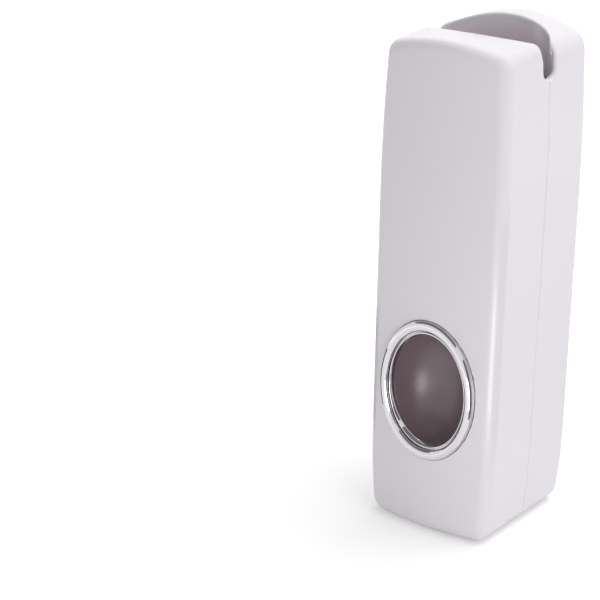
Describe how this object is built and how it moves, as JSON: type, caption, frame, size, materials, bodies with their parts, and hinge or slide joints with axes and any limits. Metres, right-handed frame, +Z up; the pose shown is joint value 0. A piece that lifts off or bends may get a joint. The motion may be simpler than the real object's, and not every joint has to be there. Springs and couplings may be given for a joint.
{
  "type": "toothpaste dispenser",
  "caption": "Upright toothpaste dispenser: open-topped white housing with slots for the tube's end, and a chrome-ringed oval port whose cup squeezes the paste out.",
  "frame": {"origin": "middle of the foot, at the centre of the bounding box's underside", "axes": "+Z up, front with the brush port faces -Y, +X to the right seen from the front"},
  "size_m": [0.054, 0.0598, 0.1877],
  "materials": {
    "white_abs": "polished",
    "chrome_trim": "mirror",
    "smoke_cup": "glossy smoke grey",
    "inner_plastic": "satin",
    "grey_silicone": "matt",
    "clear_silicone": "translucent matt",
    "red_silicone": "matt",
    "steel": "satin",
    "foam": "matt foam"
  },
  "bodies": {
    "housing": {"front_shell": "white_abs", "back_shell": "white_abs", "bezel_ring": "chrome_trim", "lever_pin": "steel", "pin_clips": "steel", "hub_washers": "inner_plastic", "return_spring": "steel", "lever_bumper": "grey_silicone", "pump_frame": "inner_plastic", "frame_screws": "steel", "squeeze_tube": "clear_silicone", "hose_clips": "steel", "nozzle": "inner_plastic", "nozzle_tip": "inner_plastic", "outlet_valve": "red_silicone", "inlet_valve": "red_silicone", "tube_seat": "clear_silicone", "seat_ring": "inner_plastic", "seat_screws": "steel", "shell_screws": "steel"},
    "push_lever": {"push_cup": "smoke_cup", "cup_screw": "steel", "lever_arm": "inner_plastic", "press_pad": "grey_silicone"},
    "wall_hook": {"wall_plate": "inner_plastic", "adhesive_pad": "foam"}
  },
  "joints": [
    {"name": "lever_hinge", "type": "hinge", "parent": "housing", "child": "push_lever", "pos_m": [0, -0.00415, 0.0864], "axis": [1, 0, 0], "range_deg": [0, 15], "stiffness_Nm_per_rad": 0.12, "springref_deg": -5.73, "deforming": ["return_spring", "squeeze_tube"]},
    {"name": "hook_slide", "type": "slide", "parent": "housing", "child": "wall_hook", "axis": [0, 0, 1], "range_m": [-0.018, 0]}
  ]
}
